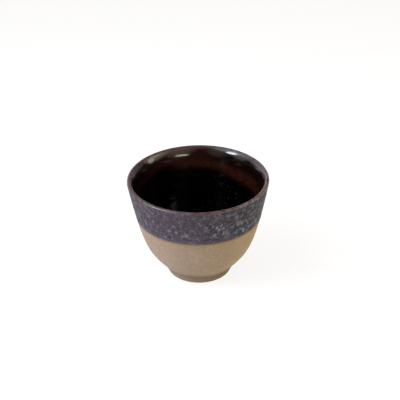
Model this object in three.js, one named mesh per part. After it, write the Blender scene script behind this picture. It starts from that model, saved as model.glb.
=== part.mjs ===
// Stoneware tumbler: a thrown clay bowl on a foot ring, with a speckled glaze band let flush into
// its upper outside, a thin glaze over the lip and a glaze lining. Every piece is turned about Z.
// Millimetres and degrees, +Z up, the foot's resting face on z = 0.
import * as THREE from "three";

// Overall size, over the glaze
const RIM_DIAMETER = 90;
const HEIGHT = 67.2;

// Outer wall: one curve that leaves the foot at a climb and reaches the lip with a slight flare
const FOOT_CLIMB = 52.1;
const FOOT_REACH = 18.5;
const RIM_FLARE = 10.5;
const RIM_REACH = 48.4;

// Thickness of the finished wall, glaze included, and the rounding of the inside corner
const LIP_THICKNESS = 2.6;
const THROAT_THICKNESS = 4.4;
const WALL_THICKNESS = 5;
const FLOOR_THICKNESS = 5;
const FLOOR_FILLET = 8;

// Throat: the inside leans out to the lip, from a depth under the rim
const THROAT_DEPTH = 10;
const THROAT_LEAN = 40;

// Glaze coats, and the height where the outer band begins
const GLAZE_LINE = 42.5;
const BAND_COAT = 0.5;
const BAND_EDGE = 0.25;
const CROWN_COAT = 0.35;
const LINER_COAT = 0.5;

// Foot ring: diameters at the resting face and at the joint with the bowl, and widths there
const FOOT_DIAMETER = 41.1;
const FOOT_JOINT_DIAMETER = 46;
const FOOT_HEIGHT = 5.6;
const FOOT_WIDTH = 4.4;
const FOOT_JOINT_WIDTH = 7.8;
const FOOT_EDGE = 0.8;

// Facets: sides of a turn, and steps along each stretch of an outline
const SIDES = 64;
const LOWER_STEPS = 7;
const BAND_STEPS = 5;
const LIP_STEPS = 6;
const THROAT_STEPS = 4;
const INSIDE_STEPS = 8;
const CORNER_STEPS = 5;
const EDGE_STEPS = 3;

// Evenly spaced values from first to last, both included.
function spaced(first, last, steps) {
  return Array.from({ length: steps + 1 }, (_, i) => THREE.MathUtils.lerp(first, last, i / steps));
}

// A unit vector at an angle above the outward direction, in the radius-height plane.
function heading(degrees) {
  const angle = THREE.MathUtils.degToRad(degrees);
  return new THREE.Vector2(Math.cos(angle), Math.sin(angle));
}

// Outer wall, from the foot joint (0) to the foot of the lip's round (1)
const lipRadius = LIP_THICKNESS / 2;
const lipTangent = heading(90 - RIM_FLARE);
const wallFoot = new THREE.Vector2(FOOT_JOINT_DIAMETER / 2, FOOT_HEIGHT);
const wallTop = new THREE.Vector2(
  RIM_DIAMETER / 2 - lipRadius * (1 - lipTangent.y),
  HEIGHT - lipRadius * (1 + lipTangent.x),
);
const wall = new THREE.CubicBezierCurve(
  wallFoot,
  wallFoot.clone().addScaledVector(heading(FOOT_CLIMB), FOOT_REACH),
  wallTop.clone().addScaledVector(lipTangent, -RIM_REACH),
  wallTop,
);

// The point at a station of the outer wall, moved into the wall by a depth.
function wallPoint(station, depth) {
  const tangent = wall.getTangent(station);
  const inward = new THREE.Vector2(-tangent.y, tangent.x);
  return wall.getPoint(station).addScaledVector(inward, depth);
}

// The station where a curve that climbs with its station reaches a height.
function stationAt(height, curve) {
  let low = 0;
  let high = 1;
  while (high - low > 1e-9) {
    const middle = (low + high) / 2;
    if (curve(middle).y < height) {
      low = middle;
    } else {
      high = middle;
    }
  }
  return high;
}

const glazeStation = stationAt(GLAZE_LINE, (station) => wallPoint(station, 0));
const throatStation = stationAt(HEIGHT - THROAT_DEPTH, (station) => wallPoint(station, 0));
const bandStations = spaced(glazeStation, 1, BAND_STEPS);

// The round of the lip, outside to inside, at a depth that may change on the way.
function lipArc(depthAt) {
  const centre = wallPoint(1, lipRadius);
  return spaced(-RIM_FLARE, 180 - THROAT_LEAN, LIP_STEPS).map((degrees, i) => {
    return centre.clone().addScaledVector(heading(degrees), lipRadius - depthAt(i / LIP_STEPS));
  });
}

// The lip's coat: as thick as the band outside and the lining inside, and thinner on the crown.
function lipCoat(share) {
  const crown = Math.sin(share * Math.PI);
  const sides = THREE.MathUtils.lerp(BAND_COAT, LINER_COAT, share);
  return THREE.MathUtils.lerp(sides, CROWN_COAT, crown);
}

// The throat at a depth under the finished surface: from the end of the lip's round, bent down to a
// point of the inside wall and the direction that the wall has there.
function throat(depth, end, down) {
  const start = lipArc(() => depth).at(-1);
  const inward = heading(270 - THROAT_LEAN);
  const reach = end.clone().sub(start).cross(down) / inward.cross(down);
  const bend = start.clone().addScaledVector(inward, reach);
  return new THREE.QuadraticBezierCurve(start, bend, end).getPoints(THROAT_STEPS).slice(0, -1);
}

// The inside from the lip to the axis, at a depth under the finished surface.
function inside(depth) {
  const floor = FOOT_HEIGHT + FLOOR_THICKNESS - depth;
  const face = (station) => {
    const share = station / throatStation;
    return wallPoint(station, THREE.MathUtils.lerp(WALL_THICKNESS, THROAT_THICKNESS, share) - depth);
  };
  const cornerStation = stationAt(floor + FLOOR_FILLET, face);
  const side = spaced(throatStation, cornerStation, INSIDE_STEPS).map(face);
  const neck = throat(depth, side[0], side[1].clone().sub(side[0]).normalize());
  const [before, start] = side.slice(-2);
  const down = start.clone().sub(before).normalize();
  const toFloor = FLOOR_FILLET / -down.y;
  const corner = start.clone().addScaledVector(down, toFloor);
  const end = new THREE.Vector2(Math.max(corner.x - toFloor, corner.x / 2), floor);
  const round = new THREE.QuadraticBezierCurve(start, corner, end).getPoints(CORNER_STEPS).slice(1);
  return [...neck, ...side, ...round, new THREE.Vector2(0, floor)];
}

// A solid turned about Z from an outline that goes up its outside and down its inside.
function turned(name, outline, finish) {
  const geometry = new THREE.LatheGeometry(outline, SIDES).rotateX(Math.PI / 2);
  const mesh = new THREE.Mesh(geometry, new THREE.MeshStandardMaterial({ metalness: 0, ...finish }));
  mesh.name = name;
  return mesh;
}

// The outline again, closed on its first point.
function closed(outline) {
  return [...outline, outline[0].clone()];
}

// Thrown bowl: flat seat on the foot, bare wall, a shoulder where the band is let in, lip and inside.
function clayBowl() {
  const outline = [
    new THREE.Vector2(0, FOOT_HEIGHT),
    ...spaced(0, glazeStation, LOWER_STEPS).map((station) => wallPoint(station, 0)),
    ...bandStations.slice(0, -1).map((station) => wallPoint(station, BAND_COAT)),
    ...lipArc(lipCoat).slice(0, -1),
    ...inside(LINER_COAT),
  ];
  return turned("clay_bowl", outline, { color: 0x9d8875, roughness: 0.85 });
}

// Foot ring: round edges at the resting face, and sides that widen towards the bowl.
function footRing() {
  const outer = FOOT_DIAMETER / 2 - FOOT_EDGE;
  const bore = FOOT_DIAMETER / 2 - FOOT_WIDTH + FOOT_EDGE;
  const edge = (radius, first, last) => {
    const centre = new THREE.Vector2(radius, FOOT_EDGE);
    return spaced(first, last, EDGE_STEPS).map((degrees) => {
      return centre.clone().addScaledVector(heading(degrees), FOOT_EDGE);
    });
  };
  const outline = [
    ...edge(outer, -90, 0),
    wallFoot.clone(),
    new THREE.Vector2(wallFoot.x - FOOT_JOINT_WIDTH, FOOT_HEIGHT),
    ...edge(bore, 180, 270),
  ];
  return turned("foot_ring", closed(outline), { color: 0x8c7763, roughness: 0.9 });
}

// Outer glaze band: flush with the bare wall, with its lower edge drawn back by the melt.
function bandGlaze() {
  const edgeStation = stationAt(GLAZE_LINE + BAND_EDGE, (station) => wallPoint(station, 0));
  const outline = [
    wallPoint(glazeStation, BAND_EDGE),
    ...spaced(edgeStation, 1, BAND_STEPS).map((station) => wallPoint(station, 0)),
    ...bandStations.toReversed().map((station) => wallPoint(station, BAND_COAT)),
  ];
  return turned("band_glaze", closed(outline), { color: 0x58505a, roughness: 0.5 });
}

// Lip glaze: the round over the clay's rim, thinnest on the crown.
function lipGlaze() {
  const outline = [...lipArc(() => 0), ...lipArc(lipCoat).reverse()];
  return turned("lip_glaze", closed(outline), { color: 0x52403f, roughness: 0.35 });
}

// Lining: the glaze coat on the inside wall, corner and floor.
function linerGlaze() {
  const outline = [...inside(LINER_COAT).reverse(), ...inside(0)];
  return turned("liner_glaze", outline, { color: 0x140a08, roughness: 0.1 });
}

const tumbler = new THREE.Group();
tumbler.name = "tumbler";
tumbler.add(clayBowl(), footRing(), bandGlaze(), lipGlaze(), linerGlaze());

export default tumbler;
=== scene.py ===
"""Looks of a handleless stoneware tumbler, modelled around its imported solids.

Lengths are in metres, in the frame of the solids: the cup turns about Z and rests on z = 0. The patterns of
the finishes are laid out in millimetres; only the depths of their bumps are in metres.
"""

import logging
import math
from dataclasses import dataclass
from enum import Enum
from typing import Callable, Mapping, Optional, Sequence, Union

import bpy
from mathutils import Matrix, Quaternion, Vector


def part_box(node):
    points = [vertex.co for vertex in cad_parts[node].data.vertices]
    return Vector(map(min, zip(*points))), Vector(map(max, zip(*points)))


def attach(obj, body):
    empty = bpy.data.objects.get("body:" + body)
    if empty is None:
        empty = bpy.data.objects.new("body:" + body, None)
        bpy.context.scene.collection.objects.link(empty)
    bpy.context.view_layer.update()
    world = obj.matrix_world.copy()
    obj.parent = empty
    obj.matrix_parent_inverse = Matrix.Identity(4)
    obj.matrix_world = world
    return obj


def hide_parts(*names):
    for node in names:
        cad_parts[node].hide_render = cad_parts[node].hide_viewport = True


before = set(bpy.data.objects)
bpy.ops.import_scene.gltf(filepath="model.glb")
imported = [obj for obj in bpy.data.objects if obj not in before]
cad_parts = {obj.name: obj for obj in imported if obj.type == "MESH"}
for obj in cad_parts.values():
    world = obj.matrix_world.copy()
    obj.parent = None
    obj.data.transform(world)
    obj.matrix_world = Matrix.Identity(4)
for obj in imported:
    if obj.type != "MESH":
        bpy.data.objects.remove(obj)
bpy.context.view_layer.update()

MM = 0.001
BODY = "root"
LOG = logging.getLogger("tumbler")

# Steps of the outlines: faces that lie on another piece, the floor under the lining, and rounded edges.
HIDDEN_STEPS = 12
HIDDEN_FLOOR_STEPS = 2
EDGE_STEPS = 8
# How often the search for a height on a curve halves its range.
HALVINGS = 40
# Straight down, as an angle in the section plane.
DOWN = 1.5 * math.pi

Colour = tuple[float, float, float]
Axes = tuple[float, float, float]
Outline = list[Vector]
Socket = bpy.types.NodeSocket
Feed = Union[Socket, str, float, Sequence[float], Vector]


class Solid(Enum):
    """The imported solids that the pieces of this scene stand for."""

    BOWL = "clay_bowl"
    FOOT = "foot_ring"
    BAND = "band_glaze"
    LIP = "lip_glaze"
    LINER = "liner_glaze"


class Slot(Enum):
    """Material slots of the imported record."""

    BARE_CLAY = "bare_clay"
    FOOT_CLAY = "foot_clay"
    BAND_GLAZE = "band_glaze"
    LIP_GLAZE = "lip_glaze"
    LINER_GLAZE = "liner_glaze"


class Kind(Enum):
    """Socket types of the node trees."""

    NUMBER = "NodeSocketFloat"
    COUNT = "NodeSocketInt"
    VECTOR = "NodeSocketVector"
    MATERIAL = "NodeSocketMaterial"
    GEOMETRY = "NodeSocketGeometry"


def spaced(first: float, last: float, steps: int) -> list[float]:
    """Evenly spaced values, both ends included.

    Args:
        first: The first value.
        last: The last value.
        steps: How many steps lie between them.

    Returns:
        The values, one more than there are steps.
    """
    return [first + (last - first) * i / steps for i in range(steps + 1)]


def heading(angle: float) -> Vector:
    """A unit vector at an angle above the outward direction, in the section plane.

    Args:
        angle: The angle in radians.

    Returns:
        The vector as (radius, height).
    """
    return Vector((math.cos(angle), math.sin(angle)))


def bent(first: Vector, corner: Vector, last: Vector, steps: int) -> Outline:
    """A line bent round a corner.

    Args:
        first: Where it starts.
        corner: The corner that it cuts.
        last: Where it ends.
        steps: How many steps it has.

    Returns:
        The points, both ends included.
    """
    return [first * (1 - t) ** 2 + corner * (2 * t * (1 - t)) + last * t ** 2 for t in spaced(0, 1, steps)]


def add_sockets(tree: bpy.types.NodeTree, in_out: str, sockets: Sequence[tuple[str, Kind]]) -> dict[str, str]:
    """Gives a tree its named inputs or outputs.

    Args:
        tree: The tree.
        in_out: INPUT or OUTPUT.
        sockets: Names and types of the sockets.

    Returns:
        The sockets' identifiers by name.
    """
    return {name: tree.interface.new_socket(name, in_out=in_out, socket_type=kind.value).identifier
            for name, kind in sockets}


class Graph:
    """Adds and links the nodes of one tree."""

    # Middle of a range from 0 to 1.
    MIDDLE = 0.5
    # Where a Mix node has its two colours and its mixed colour.
    MIX_COLOURS = (6, 7)
    MIX_RESULT = 2

    def __init__(self, tree: bpy.types.NodeTree) -> None:
        """Keeps the tree that the nodes go into."""
        self.tree = tree

    def add(self, kind: str, feeds: Optional[Mapping[Union[str, int], Feed]] = None,
            **settings: object) -> bpy.types.Node:
        """Adds a node.

        Args:
            kind: The node's type name.
            feeds: What goes into its inputs: a socket to link, or a value.
            **settings: The node's own options.

        Returns:
            The new node.
        """
        node = self.tree.nodes.new(kind)
        for name, value in settings.items():
            setattr(node, name, value)
        for key, value in (feeds or {}).items():
            self.feed(node.inputs[key], value)
        return node

    def feed(self, socket: Socket, value: Feed) -> None:
        """Links a socket to an input, or sets the input's value.

        Args:
            socket: The input.
            value: A socket, or a plain value.
        """
        if isinstance(value, bpy.types.NodeSocket):
            self.tree.links.new(value, socket)
        else:
            socket.default_value = value

    def math(self, operation: str, *values: Feed) -> Socket:
        """An operation on numbers.

        Args:
            operation: The operation's name.
            *values: Its one to three numbers.

        Returns:
            The result.
        """
        return self.add("ShaderNodeMath", dict(enumerate(values)), operation=operation).outputs[0]

    def plus(self, first: Feed, second: Feed) -> Socket:
        """The sum of two numbers."""
        return self.math("ADD", first, second)

    def minus(self, first: Feed, second: Feed) -> Socket:
        """The first number less the second."""
        return self.math("SUBTRACT", first, second)

    def times(self, first: Feed, second: Feed) -> Socket:
        """The product of two numbers."""
        return self.math("MULTIPLY", first, second)

    def larger(self, first: Feed, second: Feed) -> Socket:
        """The larger of two numbers."""
        return self.math("MAXIMUM", first, second)

    def swing(self, value: Feed, reach: Feed) -> Socket:
        """A number from 0 to 1 made to swing about 0, over a reach."""
        return self.times(self.minus(value, self.MIDDLE), reach)

    def vector(self, operation: str, *values: Feed, output: int = 0, **feeds: Feed) -> Socket:
        """An operation on vectors.

        Args:
            operation: The operation's name.
            *values: Its vectors.
            output: Which output to take: 0 is the vector, 1 the number.
            **feeds: Inputs by name, such as Scale.

        Returns:
            The result.
        """
        node = self.add("ShaderNodeVectorMath", {**dict(enumerate(values)), **feeds}, operation=operation)
        return node.outputs[output]

    def combine(self, x: Feed, y: Feed, z: Feed) -> Socket:
        """A vector from its three numbers.

        Args:
            x: The first number.
            y: The second number.
            z: The third number.

        Returns:
            The vector.
        """
        return self.add("ShaderNodeCombineXYZ", {0: x, 1: y, 2: z}).outputs[0]

    def step(self, value: Feed, start: Feed, end: Feed, low: Feed = 0.0, high: Feed = 1.0) -> Socket:
        """A smooth step of a number.

        Args:
            value: The number.
            start: Where the step starts.
            end: Where it ends.
            low: The result before it.
            high: The result after it.

        Returns:
            The stepped number.
        """
        feeds = {"Value": value, "From Min": start, "From Max": end, "To Min": low, "To Max": high}
        return self.add("ShaderNodeMapRange", feeds, interpolation_type="SMOOTHSTEP").outputs[0]

    def noise(self, vector: Feed, scale: Feed, detail: float = 2.0, roughness: float = 0.5) -> Socket:
        """Soft noise from 0 to 1.

        Args:
            vector: Where the noise is read.
            scale: Its blots to a unit of length.
            detail: How many finer layers it has.
            roughness: How strong the finer layers are.

        Returns:
            The noise.
        """
        feeds = {"Vector": vector, "Scale": scale, "Detail": detail, "Roughness": roughness}
        return self.add("ShaderNodeTexNoise", feeds).outputs[0]

    def blend(self, share: Feed, first: Feed, second: Feed, mode: str = "MIX") -> Socket:
        """A blend of two colours.

        Args:
            share: How much of the second colour shows.
            first: The colour below.
            second: The colour above.
            mode: How the colours blend.

        Returns:
            The blended colour.
        """
        below, above = self.MIX_COLOURS
        feeds = {0: share, below: self.rgba(first), above: self.rgba(second)}
        return self.add("ShaderNodeMix", feeds, data_type="RGBA", blend_type=mode).outputs[self.MIX_RESULT]

    @staticmethod
    def rgba(colour: Feed) -> Feed:
        """A colour with its alpha, or a socket as it is.

        Args:
            colour: A socket, or red, green and blue.

        Returns:
            What a colour input takes.
        """
        return colour if isinstance(colour, bpy.types.NodeSocket) else (*colour, 1.0)


@dataclass(frozen=True)
class Ramp:
    """A number that changes smoothly over a stretch of another.

    Attributes:
        start: Where the change starts.
        end: Where it ends.
        low: The number before it.
        high: The number after it.
    """

    start: float
    end: float
    low: float = 0.0
    high: float = 1.0

    def over(self, g: Graph, value: Feed, zero: float = 0.0) -> Socket:
        """Adds the number to a graph.

        Args:
            g: The graph.
            value: What the number follows.
            zero: Where the stretch is measured from.

        Returns:
            The number.
        """
        return g.step(value, zero + self.start, zero + self.end, self.low, self.high)


@dataclass(frozen=True)
class Slope:
    """A number that follows another in a straight line.

    Attributes:
        base: Its value where the other is 0.
        gain: How far it goes from there until the other is 1.
    """

    base: float
    gain: float

    def over(self, g: Graph, value: Feed) -> Socket:
        """Adds the number to a graph."""
        return g.plus(g.times(value, self.gain), self.base)


@dataclass(frozen=True)
class CupSection:
    """The cup's section in the plane of radius and height.

    Attributes:
        rim_radius: Outside of the lip.
        height: Crown of the lip.
        foot_radius: Outside of the foot where it joins the bowl.
        foot_height: Height of that joint.
        glaze_line: Lower edge of the band.
        floor: Finished floor inside.
        foot_climb: Climb of the wall at the foot, from level.
        foot_reach: How far that climb shapes the wall.
        rim_flare: Lean of the wall at the lip, from upright.
        rim_reach: How far that lean shapes the wall.
        lip_thickness: Finished lip.
        throat_thickness: Finished wall where the throat starts.
        wall_thickness: Finished wall at the foot.
        throat_depth: Drop from the crown to where the inside starts to lean out.
        throat_lean: Lean of the inside at the lip, from upright.
        floor_fillet: Height of the rounded corner inside.
        band_coat: Thickness of the band.
        crown_coat: Thickness of the glaze on the crown of the lip.
        liner_coat: Thickness of the lining.
    """

    rim_radius: float
    height: float
    foot_radius: float
    foot_height: float
    glaze_line: float
    floor: float
    foot_climb: float = math.radians(52.1)
    foot_reach: float = 18.5 * MM
    rim_flare: float = math.radians(10.5)
    rim_reach: float = 48.4 * MM
    lip_thickness: float = 2.6 * MM
    throat_thickness: float = 4.4 * MM
    wall_thickness: float = 5 * MM
    throat_depth: float = 10 * MM
    throat_lean: float = math.radians(40)
    floor_fillet: float = 8 * MM
    band_coat: float = 0.5 * MM
    crown_coat: float = 0.35 * MM
    liner_coat: float = 0.5 * MM

    @classmethod
    def from_frame(cls) -> "CupSection":
        """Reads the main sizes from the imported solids.

        Returns:
            The section that those solids have.
        """
        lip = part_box(Solid.LIP.value)
        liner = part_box(Solid.LINER.value)
        return cls(
            rim_radius=lip[1].x,
            height=lip[1].z,
            foot_radius=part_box(Solid.FOOT.value)[1].x,
            foot_height=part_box(Solid.BOWL.value)[0].z,
            glaze_line=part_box(Solid.BAND.value)[0].z,
            floor=liner[0].z + cls.liner_coat,
        )

    @property
    def lip_radius(self) -> float:
        """Radius of the lip's round."""
        return self.lip_thickness / 2

    @property
    def lip_centre(self) -> Vector:
        """Centre of the lip's round."""
        return Vector((self.rim_radius - self.lip_radius, self.height - self.lip_radius))

    def wall_point(self, station: float, depth: float = 0.0) -> Vector:
        """A point of the outer wall, moved into it.

        Args:
            station: 0 at the foot, 1 where the lip's round starts.
            depth: How far the point lies under the finished face.

        Returns:
            The point.
        """
        top = self.lip_centre + heading(-self.rim_flare) * self.lip_radius
        foot = Vector((self.foot_radius, self.foot_height))
        points = (
            foot,
            foot + heading(self.foot_climb) * self.foot_reach,
            top - heading(math.pi / 2 - self.rim_flare) * self.rim_reach,
            top,
        )
        rest = 1 - station
        weights = (rest ** 3, 3 * rest ** 2 * station, 3 * rest * station ** 2, station ** 3)
        slopes = (-3 * rest ** 2, 3 * rest * (rest - 2 * station), 3 * station * (2 * rest - station),
                  3 * station ** 2)
        place = sum((p * w for p, w in zip(points, weights)), Vector((0, 0)))
        tangent = sum((p * s for p, s in zip(points, slopes)), Vector((0, 0))).normalized()
        return place + Vector((-tangent.y, tangent.x)) * depth

    def inner_point(self, station: float, depth: float = 0.0) -> Vector:
        """A point of the inside wall, under its finished face.

        Args:
            station: 0 at the foot, 1 where the lip's round starts.
            depth: How far the point lies under the finished face.

        Returns:
            The point.
        """
        share = station / self.throat_station
        thickness = self.wall_thickness + (self.throat_thickness - self.wall_thickness) * share
        return self.wall_point(station, thickness - depth)

    @property
    def throat_station(self) -> float:
        """Station of the wall where the inside starts to lean out."""
        return self.station_at(self.height - self.throat_depth, self.wall_point)

    @staticmethod
    def station_at(height: float, curve: Callable[[float], Vector]) -> float:
        """Where a curve that climbs with its station reaches a height.

        Args:
            height: The height to reach.
            curve: The curve.

        Returns:
            The station.
        """
        low, high = 0.0, 1.0
        for _ in range(HALVINGS):
            middle = (low + high) / 2
            if curve(middle).y < height:
                low = middle
            else:
                high = middle
        return high

    def lip_arc(self, depth: Callable[[float], float], steps: int) -> Outline:
        """The lip's round, from the outside to the inside.

        Args:
            depth: How far the line lies under the finished face, by its share of the way.
            steps: How many steps the line has.

        Returns:
            The points.
        """
        angles = spaced(-self.rim_flare, math.pi - self.throat_lean, steps)
        return [self.lip_centre + heading(angle) * (self.lip_radius - depth(i / steps))
                for i, angle in enumerate(angles)]

    def lip_coat(self, share: float) -> float:
        """Thickness of the lip's glaze.

        Args:
            share: 0 on the outside of the lip, 1 on its inside.

        Returns:
            The thickness.
        """
        sides = self.band_coat + (self.liner_coat - self.band_coat) * share
        crown = math.sin(math.pi * share)
        return sides + (self.crown_coat - sides) * crown

    def throat(self, depth: float, end: Vector, down: Vector, steps: int) -> Outline:
        """The throat, from the end of the lip's round down to the inside wall.

        Args:
            depth: How far the line lies under the finished face.
            end: The point of the inside wall where it ends.
            down: The wall's direction there.
            steps: How many steps the line has.

        Returns:
            The points, without the last one.
        """
        start = self.lip_arc(lambda share: depth, steps)[-1]
        inward = heading(DOWN - self.throat_lean)
        reach = (end - start).cross(down) / inward.cross(down)
        return bent(start, start + inward * reach, end, steps)[:-1]

    def inside(self, depth: float, steps: int, corner_steps: int, floor_steps: int) -> Outline:
        """The inside, from the lip down to the axis.

        Args:
            depth: How far the line lies under the finished face.
            steps: Steps down the wall.
            corner_steps: Steps round the corner, and down the throat.
            floor_steps: Steps over the floor.

        Returns:
            The points.
        """
        floor = self.floor - depth
        corner_station = self.station_at(floor + self.floor_fillet, lambda s: self.inner_point(s, depth))
        side = [self.inner_point(s, depth) for s in spaced(self.throat_station, corner_station, steps)]
        neck = self.throat(depth, side[0], (side[1] - side[0]).normalized(), corner_steps)
        down = (side[-1] - side[-2]).normalized()
        reach = self.floor_fillet / -down.y
        corner = side[-1] + down * reach
        end = Vector((max(corner.x - reach, corner.x / 2), floor))
        turn = bent(side[-1], corner, end, corner_steps)[1:]
        flat = [Vector((radius, floor)) for radius in spaced(end.x, 0, floor_steps)[1:]]
        return neck + side + turn + flat


@dataclass(frozen=True)
class Hand:
    """Traces that the wheel and the hand leave on a turned piece.

    Attributes:
        wobble: How far the form is out of round.
        ripple: Depth of the throwing rings.
        ripple_pitch: Climb of the rings in one turn.
        ripple_top: Height where the rings have faded out.
        line_wave: How far the glaze line rises and falls.
        turning: Depth of the turning marks under the floor.
        turning_pitch: Distance between those marks.
    """

    wobble: float = 0.16 * MM
    ripple: float = 0.05 * MM
    ripple_pitch: float = 5.2 * MM
    ripple_top: float = 64 * MM
    line_wave: float = 0.22 * MM
    turning: float = 0.0
    turning_pitch: float = 1.8 * MM


@dataclass(frozen=True)
class Grog:
    """Grains of crushed fired clay that show in a bare wall.

    Attributes:
        per_square_metre: How many grains there are.
        smallest: Least radius.
        largest: Greatest radius.
        sunk: Share of the radius that lies under the surface.
    """

    per_square_metre: float = 90000.0
    smallest: float = 0.07 * MM
    largest: float = 0.2 * MM
    sunk: float = 0.7


class MeshTree:
    """A Geometry Nodes tree with named inputs, run once on a mesh."""

    NAME = ""
    INPUTS: tuple[tuple[str, Kind], ...] = ()

    def __init__(self) -> None:
        """Builds the tree."""
        self.tree = bpy.data.node_groups.new(self.NAME, "GeometryNodeTree")
        shape = ("Geometry", Kind.GEOMETRY)
        self.keys = add_sockets(self.tree, "INPUT", (shape, *self.INPUTS))
        add_sockets(self.tree, "OUTPUT", (shape,))
        self._link()

    def _link(self) -> None:
        """Adds the tree's nodes."""
        raise NotImplementedError

    def run(self, name: str, start: bpy.types.Mesh, values: Mapping[str, object]) -> bpy.types.Object:
        """Runs the tree on a mesh and keeps the result as a plain mesh.

        Args:
            name: The new object's name.
            start: The mesh that the tree starts from.
            values: The tree's inputs by name.

        Returns:
            An object at the origin, with no modifier.
        """
        carrier = bpy.data.objects.new(name + " carrier", start)
        bpy.context.scene.collection.objects.link(carrier)
        modifier = carrier.modifiers.new("tree", "NODES")
        modifier.node_group = self.tree
        for key, value in values.items():
            modifier[self.keys[key]] = value
        carrier.update_tag()
        graph = bpy.context.evaluated_depsgraph_get()
        mesh = bpy.data.meshes.new_from_object(carrier.evaluated_get(graph))
        mesh.name = name
        bpy.data.objects.remove(carrier)
        piece = bpy.data.objects.new(name, mesh)
        bpy.context.scene.collection.objects.link(piece)
        return piece


class TurningTree(MeshTree):
    """Geometry Nodes tree that turns an outline about Z, with the traces of the wheel."""

    NAME = "turned on the wheel"
    INPUTS = (
        ("Segments", Kind.COUNT),
        ("Wobble", Kind.NUMBER),
        ("Ripple", Kind.NUMBER),
        ("Ripple Pitch", Kind.NUMBER),
        ("Ripple Top", Kind.NUMBER),
        ("Line Height", Kind.NUMBER),
        ("Line Wave", Kind.NUMBER),
        ("Turning", Kind.NUMBER),
        ("Turning Pitch", Kind.NUMBER),
        ("Turning Height", Kind.NUMBER),
        ("Turning Radius", Kind.NUMBER),
        ("Finish", Kind.MATERIAL),
    )
    SEGMENTS = 256
    # The grid reaches this far to each side of its middle.
    HALF_GRID = 0.5
    # Points that lie closer than this become one, at the seam and on the axis.
    MERGE = 0.5e-6
    # Scale and detail of each noise, and the height that is one unit in them.
    WOBBLE_NOISE = (0.9, 1.0)
    RIPPLE_NOISE = (2.6, 2.0)
    LINE_NOISE = (3.4, 3.0)
    NOISE_HEIGHT = 40 * MM
    # A swing goes half way to each side; this makes it the whole way.
    WHOLE_SWING = 2.0
    # Strength of the rings where their noise is 1.
    RIPPLE_GAIN = 1.6
    # Where the traces fade: towards the axis, at the top, beside the glaze line, and under the floor.
    PLAIN_RADIUS = 12 * MM
    RIPPLE_FADE = 8 * MM
    LINE_REACH = 4 * MM
    MARK_FADE = 2 * MM
    # The turning marks take what lies lower than this over the joint of the foot.
    UNDERSIDE_MARGIN = 0.1 * MM

    def _link(self) -> None:
        """Adds the tree's nodes."""
        g = Graph(self.tree)
        given = g.add("NodeGroupInput").outputs
        radius, height, angle, grid = self._grid(g, given)
        around = g.combine(g.math("COSINE", angle), g.math("SINE", angle), 0.0)
        radius, height = self._traces(g, given, radius, height, angle, around)
        place = g.vector("ADD", g.vector("SCALE", around, Scale=radius), g.combine(0.0, 0.0, height))
        shape = g.add("GeometryNodeSetPosition", {"Geometry": grid, "Position": place})
        closed = g.add("GeometryNodeMergeByDistance", {"Geometry": shape.outputs[0], "Distance": self.MERGE})
        smooth = g.add("GeometryNodeSetShadeSmooth", {"Geometry": closed.outputs[0]})
        real = g.add("GeometryNodeRealizeInstances", {"Geometry": smooth.outputs[0]})
        dressed = g.add("GeometryNodeSetMaterial", {"Geometry": real.outputs[0], "Material": given["Finish"]})
        g.add("NodeGroupOutput", {"Geometry": dressed.outputs[0]})

    def _grid(self, g: Graph, given: bpy.types.NodeOutputs) -> tuple[Socket, Socket, Socket, Socket]:
        """A grid of outline points by segments, and where each of its points lies.

        Args:
            g: The tree's graph.
            given: The tree's inputs.

        Returns:
            Radius, height and angle of a point, and the grid.
        """
        outline = given["Geometry"]
        points = g.add("GeometryNodeAttributeDomainSize", {"Geometry": outline}, component="MESH").outputs[0]
        columns = g.plus(given["Segments"], 1.0)
        grid = g.add("GeometryNodeMeshGrid",
                     {"Size X": 1.0, "Size Y": 1.0, "Vertices X": points, "Vertices Y": columns})
        place = g.add("GeometryNodeInputPosition").outputs[0]
        along = g.add("ShaderNodeSeparateXYZ", {0: place}).outputs
        share = g.times(g.plus(along[0], self.HALF_GRID), g.minus(points, 1.0))
        index = g.math("ROUND", share)
        sample = g.add("GeometryNodeSampleIndex", {"Geometry": outline, "Value": place, "Index": index},
                       data_type="FLOAT_VECTOR", domain="POINT")
        section = g.add("ShaderNodeSeparateXYZ", {0: sample.outputs[0]}).outputs
        angle = g.times(g.plus(along[1], self.HALF_GRID), -math.tau)
        return section[0], section[2], angle, grid.outputs[0]

    @staticmethod
    def _spiral(g: Graph, along: Socket, pitch: Socket, angle: Socket) -> Socket:
        """A wave that winds round the axis.

        Args:
            g: The tree's graph.
            along: How far a point lies along the wave.
            pitch: Length of one wave.
            angle: The point's angle round the axis.

        Returns:
            The wave, from -1 to 1.
        """
        turns = g.math("DIVIDE", along, pitch)
        return g.math("SINE", g.plus(g.times(turns, math.tau), angle))

    def _traces(self, g: Graph, given: bpy.types.NodeOutputs, radius: Socket, height: Socket, angle: Socket,
                around: Socket) -> tuple[Socket, Socket]:
        """Moves the points of the grid as the wheel and the hand would.

        Args:
            g: The tree's graph.
            given: The tree's inputs.
            radius: Radius of a point.
            height: Its height.
            angle: Its angle round the axis.
            around: Its direction from the axis.

        Returns:
            The new radius and height.
        """
        unit_height = g.combine(0.0, 0.0, g.math("DIVIDE", height, self.NOISE_HEIGHT))
        where = g.vector("ADD", around, unit_height)
        off_axis = g.step(radius, 0.0, self.PLAIN_RADIUS)
        unround = g.swing(g.noise(where, *self.WOBBLE_NOISE), given["Wobble"])
        wobble = g.times(unround, g.times(off_axis, self.WHOLE_SWING))
        wave = self._spiral(g, height, given["Ripple Pitch"], angle)
        strength = g.times(g.noise(where, *self.RIPPLE_NOISE), self.RIPPLE_GAIN)
        fade = g.step(height, given["Ripple Top"], g.minus(given["Ripple Top"], self.RIPPLE_FADE))
        ripple = g.times(g.times(wave, strength), g.times(given["Ripple"], fade))
        ripple = g.times(ripple, off_axis)
        radius_out = g.plus(radius, g.plus(wobble, ripple))

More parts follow.
